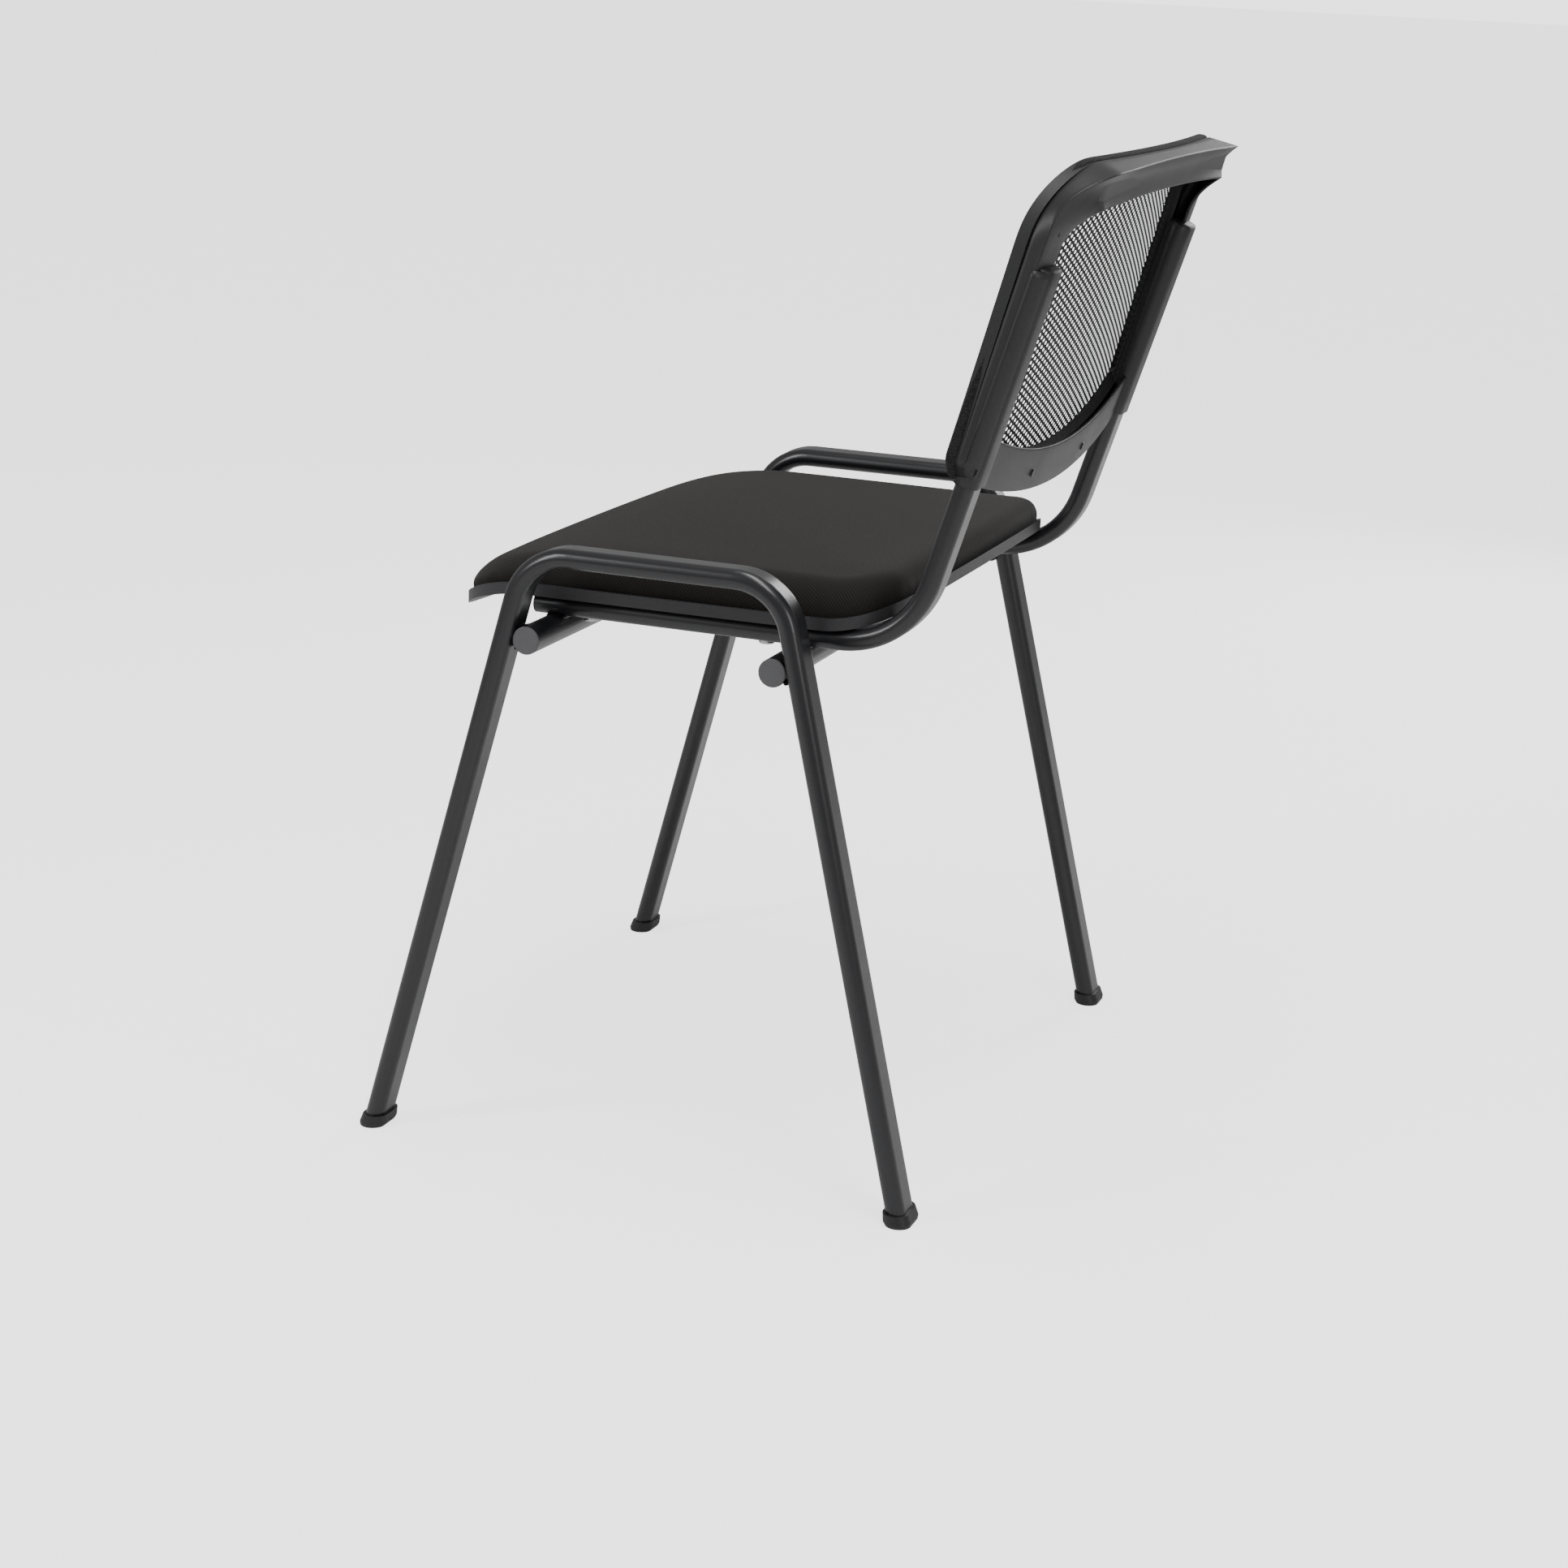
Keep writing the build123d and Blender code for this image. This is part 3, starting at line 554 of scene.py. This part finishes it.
def crease_depth(p):
    """Where the frame's outer wall ends: near the seam at the sides, far back at the top bar."""
    side = RING_REAR + dish(p.x)
    return side + (LIP - side) * lip_rise(p.y, *LIP_RISE)


def rim_depth(p):
    """The same for the inner rim of the flange."""
    side = RING_REAR + dish(p.x)
    return side + (LIP_LOW - side) * lip_rise(p.y, *RIM_RISE)


def back_ring(made):
    """The moulded ring behind the mesh: outer wall, crisp rear edge, flange and inner lip."""
    seam = face_at(SEAM)
    sections = [
        (outline(0.004), lambda p: seam(p) + 0.0002),
        (outline(0.0006), lambda p: seam(p) + 0.0002),
        (outline(0.0), lambda p: seam(p) + 0.0008),
    ]
    for part in (0.25, 0.5, 0.75, 0.9):
        radius = CORNER_R + (CREASE_R - CORNER_R) * part
        sections.append((
            outline(0.0, corner_r=radius),
            lambda p, part=part: (seam(p) + 0.0008) * (1 - part) + crease_depth(p) * part,
        ))
    sections += [
        (outline(0.0, corner_r=CREASE_R), lambda p: crease_depth(p) - 0.0008),
        (outline(0.0003, corner_r=CREASE_R), lambda p: crease_depth(p) - 0.0002),
        (outline(0.0010, corner_r=CREASE_R), crease_depth),
    ]
    for part in (0.33, 0.66, 0.94):
        sections.append((
            outline(0.0010 + (RING_WIDTH - 0.001) * part, 0.0010 + (BAR_HEIGHT - 0.001) * part, CREASE_R),
            lambda p, part=part: crease_depth(p) * (1 - part) + rim_depth(p) * part,
        ))
    sections += [
        (outline(RING_WIDTH - 0.0004, BAR_HEIGHT - 0.0004, CREASE_R), lambda p: rim_depth(p) - 0.0003),
        (outline(RING_WIDTH, BAR_HEIGHT, CREASE_R), lambda p: rim_depth(p) - 0.0008),
        (outline(RING_WIDTH, BAR_HEIGHT, CREASE_R), lambda p: rim_depth(p) - WALL),
        (outline(RING_WIDTH - 0.002, BAR_HEIGHT - 0.002, CREASE_R), lambda p: rim_depth(p) - WALL),
        (outline(WALL + 0.002, WALL + 0.002, CREASE_R), lambda p: crease_depth(p) - WALL),
        (outline(WALL, WALL, CREASE_R), lambda p: crease_depth(p) - WALL - 0.001),
        (outline(WALL + 0.0015), lambda p: seam(p) + 0.0002),
    ]
    return ring_loft("back_ring", sections, made)


def oval(wide, thin):
    """A flat oval as (across, rearward) points."""
    straight = (wide - thin) / 2
    points = []
    for k in range(OVAL_POINTS):
        angle = 2 * math.pi * (k + 0.5) / OVAL_POINTS
        points.append((
            math.copysign(straight, math.cos(angle)) + thin / 2 * math.cos(angle),
            thin / 2 * math.sin(angle),
        ))
    return points


def sleeve(side, made):
    """One flat-oval sleeve with an open lower end and a slightly domed top."""
    rings = [
        (SLEEVE_LOW + 0.012, -0.0021), (SLEEVE_LOW, -0.0020), (SLEEVE_LOW, -0.0005),
        (SLEEVE_LOW + 0.0006, 0.0),
    ]
    for k in range(1, SLEEVE_STEPS):
        rings.append((SLEEVE_LOW + (SLEEVE_HIGH - SLEEVE_LOW) * k / SLEEVE_STEPS, 0.0))
    rings += [(SLEEVE_HIGH - 0.0022, 0.0), (SLEEVE_HIGH - 0.0008, -0.0006), (SLEEVE_HIGH + 0.0002, -0.0018)]
    rings += [(SLEEVE_HIGH + 0.0010, -0.0045), (SLEEVE_HIGH + 0.0014, -0.0085)]
    sections = []
    for up, grow in rings:
        section = oval(SLEEVE_WIDE + 2 * grow, SLEEVE_THIN + 2 * grow)
        sections.append([slope(side * UPRIGHT_X + x, up, n) for x, n in section])
    verts, faces = loft(sections, closed_path=False, closed_section=True)
    faces.append(tuple(range(len(verts) - OVAL_POINTS, len(verts))))
    return new_object("sleeve", verts, faces, made)


def fairing(side, made):
    """The frame's outer wall carried over to the sleeve, which it meets in a soft curve."""
    sections = []
    for k in range(FAIRING_STEPS + 1):
        up = FAIRING_LOW + (FAIRING_HIGH - FAIRING_LOW) * k / FAIRING_STEPS
        straight = HALF_TOP + (HALF_LOW - HALF_TOP) * (SIDE_TOP - up) / SIDE_LENGTH
        edge = min(straight, HALF_LOW - CHAMFER + up - TOE) - 0.0002
        sections.append([slope(side * x, up, n) for x, n in (
            (edge - 0.004, -0.0040), (edge, -0.0030), (edge - 0.0001, -0.0005), (edge - 0.0010, 0.0016),
            (min(edge - 0.0015, 0.2215), 0.0040), (min(edge - 0.0015, 0.2180), 0.0063),
            (0.2110, 0.0083), (0.2070, 0.0092), (0.2070, -0.0040),
        )])
    verts, faces = loft(sections, closed_path=False, closed_section=True)
    faces += [tuple(range(FAIRING_POINTS)), tuple(range(len(verts) - FAIRING_POINTS, len(verts)))]
    return new_object("fairing", verts, faces, made)


def join(name, objects):
    bpy.ops.object.select_all(action="DESELECT")
    for obj in objects:
        obj.select_set(True)
    bpy.context.view_layer.objects.active = objects[0]
    bpy.ops.object.join()
    objects[0].name = name
    objects[0].data.name = name
    return objects[0]


def screw_heads(made):
    """The carrier screws' plain heads, seated on the moulded frame's rear face."""
    work = bmesh.new()
    for across, up in CARRIER_SCREWS:
        for side in (-1, 1):
            at = slope(side * across, up, RING_REAR + dish(across) + 0.0006)
            place = Matrix.Translation(at) @ Matrix.Rotation(math.pi / 2 - TILT, 4, "X")
            bmesh.ops.create_cone(
                work, cap_ends=True, segments=28,
                radius1=SCREW_HEAD_R, radius2=SCREW_CROWN_R, depth=SCREW_HEAD_DEPTH,
                matrix=place @ Matrix.Rotation(math.pi, 4, "X"),
            )
    mesh = bpy.data.meshes.new("screw_heads")
    work.to_mesh(mesh)
    work.free()
    mesh.materials.append(made)
    heads = bpy.data.objects.new("screw_heads", mesh)
    bpy.context.scene.collection.objects.link(heads)
    return heads


# ================================================================ seat
def shell_under(y):
    """Height of the shell's underside at a place along the seat."""
    along = y - SEAT_MID_Y
    if along < SEAT_FLAT[0]:
        reach = min(SEAT_FLAT[0] - along, WATERFALL_R * 0.95)
        return SHELL_UNDER_Z - WATERFALL_R + math.sqrt(WATERFALL_R**2 - reach**2)
    if along > SEAT_FLAT[1]:
        reach = min(along - SEAT_FLAT[1], KICK_R * 0.95)
        return SHELL_UNDER_Z + KICK_R - math.sqrt(KICK_R**2 - reach**2)
    return SHELL_UNDER_Z


def cushion_under(y):
    """The same for the slope that the cushion's top follows."""
    reach = CUSHION_START - (y - SEAT_MID_Y)
    if reach > 0:
        return SHELL_UNDER_Z - CUSHION_R + math.sqrt(CUSHION_R**2 - reach**2)
    return shell_under(y)


def seat_outline(cover):
    """The cover's outline seen from above, as evenly spaced points with outward directions."""
    flat = [Vector((v.co.x, v.co.y)) for v in cover.data.vertices]
    hull = [flat[k] for k in geometry.convex_hull_2d(flat)]
    lengths = [0.0]
    for a, b in zip(hull, hull[1:] + hull[:1]):
        lengths.append(lengths[-1] + (b - a).length)
    points = []
    part = 0
    for k in range(SEAT_POINTS):
        at = lengths[-1] * k / SEAT_POINTS
        while lengths[part + 1] < at:
            part += 1
        a, b = hull[part], hull[(part + 1) % len(hull)]
        points.append(a.lerp(b, (at - lengths[part]) / (lengths[part + 1] - lengths[part])))
    out = []
    for k in range(SEAT_POINTS):
        along = points[(k + 3) % SEAT_POINTS] - points[k - 3]
        out.append(Vector((along.y, -along.x)).normalized())
    return points, out


def cushion_section():
    """The pad's edge as (in from the outline, height above the shell's underside)."""
    section = [(CUSHION_IN, BOARD_TOP), (CUSHION_IN, 0.0040), (0.0, 0.0036)]
    section += [(0.0, RIM - 0.002), (0.0, RIM + 0.001)]
    for k in range(1, EDGE_STEPS + 1):
        angle = math.pi / 2 * k / EDGE_STEPS
        inward = CUSHION_ROUND * (1 - math.cos(angle) ** 0.9) - 0.0012 * math.sin(2 * angle)
        section.append((inward, RIM + 0.001 + (CUSHION_TOP - RIM - 0.001) * math.sin(angle)))
    section += [(0.033, CUSHION_TOP + 0.0002), (0.040, CUSHION_TOP + 0.0003)]
    section.append((0.047, CUSHION_TOP + CUSHION_SETTLE))
    return section


def ring_faces(first, rings, tip):
    """Quads between rings of vertices round the seat, and a fan from the last one to the tip."""
    faces = []
    for ring in range(rings):
        here = first + ring * SEAT_POINTS
        there = here + SEAT_POINTS
        for k in range(SEAT_POINTS):
            n = (k + 1) % SEAT_POINTS
            if ring < rings - 1:
                faces.append((here + k, here + n, there + n, there + k))
            else:
                faces.append((here + k, here + n, tip))
    return faces


def cushion(cover, made):
    """The upholstered pad: drawn in at the rim, rounded all round and softly crowned."""
    points, out = seat_outline(cover)
    middle = Vector((0, SEAT_MID_Y - CUSHION_FORWARD))
    section = cushion_section()
    verts, flat = [], []
    length = 0.0
    lengths = [0.0]
    for (a, b), (c, d) in zip(section[::-1], section[-2::-1]):
        length += math.hypot(c - a, d - b)
        lengths.insert(0, length)

    def place(at, height):
        held = shell_under(at.y)
        free = cushion_under(at.y)
        part = smooth(RIM, CUSHION_TOP, height)
        across = 1 - (at.x / CROWN_HALF_WIDE) ** 2
        along = 1 - ((at.y - middle.y) / CROWN_HALF_LONG) ** 2
        crown = CUSHION_CROWN * max(across, 0) * max(along, 0) * part
        return Vector((at.x, at.y, held + (free - held) * part + height + crown))

    for (inward, height), reach in zip(section, lengths):
        for k, (point, direction) in enumerate(zip(points, out)):
            tight = math.exp(-(((height - RIM - GATHER_HEIGHT) / GATHER_HEIGHT) ** 2))
            turn = (out[(k + 6) % SEAT_POINTS] - out[k - 6]).length
            wave = math.sin(k * 2.1 + 0.8 * math.sin(k * 0.37))
            gather = GATHER * tight * min(turn * 2.5, 1) * wave
            verts.append(place(point - direction * (inward - gather), height))
            flat.append(point - direction * (section[-1][0] - reach))
    inner = [point - direction * section[-1][0] for point, direction in zip(points, out)]
    shares = [k / TOP_RINGS for k in range(1, TOP_RINGS)]
    for share in shares:
        for point in inner:
            at = point.lerp(middle, share)
            verts.append(place(at, CUSHION_TOP + CUSHION_SETTLE))
            flat.append(at)
    faces = ring_faces(0, len(section) + len(shares), len(verts))
    verts.append(place(middle, CUSHION_TOP + CUSHION_SETTLE))
    flat.append(middle)
    below = len(verts)
    for k in range(UNDER_RINGS):
        for point, direction in zip(points, out):
            at = (point - direction * CUSHION_IN).lerp(middle, k / UNDER_RINGS)
            verts.append(Vector((at.x, at.y, shell_under(at.y) + BOARD_TOP)))
            flat.append(at)
    faces += [face[::-1] for face in ring_faces(below, UNDER_RINGS, len(verts))]
    verts.append(Vector((middle.x, middle.y, shell_under(middle.y) + BOARD_TOP)))
    flat.append(middle)
    pad = new_object("seat_cushion", verts, faces, made)
    weave = pad.data.uv_layers.new(name="weave")
    for loop in pad.data.loops:
        weave.data[loop.index].uv = flat[loop.vertex_index]
    work = bmesh.new()
    work.from_mesh(pad.data)
    bmesh.ops.remove_doubles(work, verts=work.verts, dist=0.00001)
    bmesh.ops.recalc_face_normals(work, faces=work.faces)
    work.to_mesh(pad.data)
    work.free()
    return pad


# ================================================================ welds
def bead(start, end, radius):
    """A weld bead: a short round run with a ripple, thinner at its ends."""
    along = end - start
    side = along.normalized().cross(Vector((0, 0, 1)))
    if side.length < 0.1:
        side = along.normalized().cross(Vector((0, 1, 0)))
    side.normalize()
    up = side.cross(along).normalized()
    sections = []
    for k in range(WELD_STEPS + 1):
        part = k / WELD_STEPS
        size = radius * (0.35 + 0.65 * math.sin(math.pi * part) ** 0.35) * (1 + 0.08 * math.sin(part * 40))
        at = start + along * part
        angles = [2 * math.pi * j / WELD_SIDES for j in range(WELD_SIDES)]
        sections.append([at + (side * math.cos(a) + up * math.sin(a)) * size for a in angles])
    return loft(sections, closed_path=False, closed_section=True)


def weld_beads(made):
    """Beads where the cross tubes meet the legs and where the uprights sit on the cross tubes."""
    runs = []
    for name in ("front_cross_tube", "rear_cross_tube"):
        low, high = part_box(name)
        middle_y = (low[1] + high[1]) / 2
        middle_z = (low[2] + high[2]) / 2
        radius = (high[2] - low[2]) / 2
        outward = -1 if middle_y < SEAT_MID_Y else 1
        leg_y = middle_y + outward * radius
        for side in (-1, 1):
            for lift, back in ((0.0068, 0.0020), (-0.0072, -0.0012)):
                y = leg_y - outward * 0.0024 - outward * back
                start = Vector((side * LEG_WELD[0], y, middle_z + lift))
                end = Vector((side * LEG_WELD[1], y, middle_z + lift))
                runs.append((start, end, LEG_WELD_R))
            for step in (-1, 1):
                y = middle_y + step * 0.0062
                start = Vector((side * (UPRIGHT_X - UPRIGHT_WELD_HALF), y, middle_z + radius - 0.0024))
                end = Vector((side * (UPRIGHT_X + UPRIGHT_WELD_HALF), y, middle_z + radius - 0.0024))
                runs.append((start, end, UPRIGHT_WELD_R))
    verts, faces = [], []
    for start, end, radius in runs:
        more_verts, more_faces = bead(start, end, radius)
        faces += [tuple(k + len(verts) for k in face) for face in more_faces]
        verts += more_verts
    return new_object("weld_beads", verts, faces, made)


# ================================================================ studio
def area_light(name, at, to, size, power):
    data = bpy.data.lights.new(name, "AREA")
    data.shape = "RECTANGLE"
    data.size, data.size_y = size
    data.energy = power
    light = bpy.data.objects.new(name, data)
    bpy.context.scene.collection.objects.link(light)
    light.location = at
    light.rotation_euler = (Vector(to) - Vector(at)).to_track_quat("-Z", "Y").to_euler()


def camera_rays(tree, for_others, for_camera, into):
    """A socket gets one value where the camera looks straight at it, and another elsewhere."""
    path = tree.nodes.new("ShaderNodeLightPath")
    choose = tree.nodes.new("ShaderNodeMapRange")
    choose.inputs["To Min"].default_value = for_others
    choose.inputs["To Max"].default_value = for_camera
    tree.links.new(path.outputs["Is Camera Ray"], choose.inputs["Value"])
    tree.links.new(choose.outputs["Result"], into)


def studio():
    scene = bpy.context.scene
    world = bpy.data.worlds.new("studio")
    world.use_nodes = True
    background = world.node_tree.nodes["Background"]
    background.inputs["Color"].default_value = (1, 1, 1, 1)
    camera_rays(world.node_tree, WORLD_LIGHT, WORLD_SEEN, background.inputs["Strength"])
    scene.world = world
    bpy.ops.mesh.primitive_plane_add(size=FLOOR_SIZE, location=(0, 0, 0))
    floor = bpy.context.active_object
    floor.name = "floor"
    pale = material("floor_paint", (0.86, 0.86, 0.86), 0.7)
    shader = pale.node_tree.nodes["Principled BSDF"]
    shader.inputs["Emission Color"].default_value = (1, 1, 1, 1)
    camera_rays(pale.node_tree, 0.0, FLOOR_GLOW, shader.inputs["Emission Strength"])
    floor.data.materials.append(pale)
    for light in LIGHTS:
        area_light(*light)


def camera():
    data = bpy.data.cameras.new("camera")
    data.lens = CAMERA_LENS
    data.sensor_width = CAMERA_SENSOR
    data.clip_end = 50
    seen = bpy.data.objects.new("camera", data)
    bpy.context.scene.collection.objects.link(seen)
    back = (CAMERA_AT - CAMERA_TO).normalized()
    right = Vector((0, 0, 1)).cross(back).normalized()
    up = back.cross(right)
    turned_right = right * math.cos(CAMERA_ROLL) + up * math.sin(CAMERA_ROLL)
    turned_up = up * math.cos(CAMERA_ROLL) - right * math.sin(CAMERA_ROLL)
    rotation = Matrix((turned_right, turned_up, back)).transposed().to_4x4()
    seen.matrix_world = Matrix.Translation(CAMERA_AT) @ rotation
    bpy.context.scene.camera = seen


# ================================================================ build
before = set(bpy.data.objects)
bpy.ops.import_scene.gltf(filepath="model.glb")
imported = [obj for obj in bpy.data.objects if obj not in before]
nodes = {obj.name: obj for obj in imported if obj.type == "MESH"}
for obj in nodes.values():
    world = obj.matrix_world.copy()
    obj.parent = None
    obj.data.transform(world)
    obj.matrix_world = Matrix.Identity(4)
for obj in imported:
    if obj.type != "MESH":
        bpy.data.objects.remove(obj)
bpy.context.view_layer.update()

grain_group()
paint = powder_coat()
cap_grey = moulded("cap_grey", (0.075, 0.075, 0.078), (0.105, 0.105, 0.11), 0.5, 0.62)
glide_black = moulded("glide_black", (0.010, 0.010, 0.010), (0.016, 0.016, 0.016), 0.38, 0.5)
shell_plastic = moulded("shell_plastic", (0.022, 0.022, 0.024), (0.032, 0.032, 0.035), 0.34, 0.44)
back_plastic = moulded("back_plastic", (0.011, 0.0105, 0.0105), (0.019, 0.0182, 0.0185), 0.36, 0.50)
carrier_plastic = moulded("carrier_plastic", (0.012, 0.012, 0.013), (0.018, 0.018, 0.019), 0.5, 0.6)
yarn = plain_mesh_fabric()
edge_knit = knit("edge_knit", (0.0025, 0.0025, 0.0028), (0.024, 0.024, 0.026), 420, 0.8)
twill = seat_fabric()
black_steel = material("black_steel", (0.015, 0.015, 0.015), 0.35, Metallic=0.6)

finishes = {
    "leg_frame": paint, "upright_tube": paint, "front_cross_tube": paint, "rear_cross_tube": paint,
    "cross_cap": cap_grey, "glide": glide_black, "upright_plug": glide_black,
    "seat_shell": shell_plastic, "seat_board": plywood(), "seat_foam": foam(), "seat_cover": twill,
    "back_frame": back_plastic, "mesh_carrier": carrier_plastic, "back_mesh": edge_knit,
    "seat_screws": zinc(), "seat_nuts": zinc(),
    "carrier_screws": black_steel, "sleeve_screws": black_steel,
}
for name, obj in nodes.items():
    for start, made in finishes.items():
        if name.startswith(start):
            obj.data.materials.clear()
            obj.data.materials.append(made)

border = mesh_border(edge_knit)
window = perforated_mesh(yarn)
stitches = border_stitches(yarn)
moulding = join("back_moulding", [back_ring(back_plastic)] + [
    build(side, back_plastic) for build in (sleeve, fairing) for side in (-1, 1)
])
pad = cushion(nodes["seat_cover"], twill)
welds = weld_beads(paint)
heads = screw_heads(black_steel)

for piece, slot_name in (
    (border, "mesh_fabric"), (window, "mesh_fabric"), (stitches, "mesh_fabric"),
    (moulding, "back_plastic"), (pad, "seat_fabric"), (welds, "frame_steel"), (heads, "black_steel"),
):
    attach(piece, "root")
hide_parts("back_mesh")
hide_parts("back_frame")
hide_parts("carrier_screws")
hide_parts("seat_cover", "seat_foam")

studio()
camera()
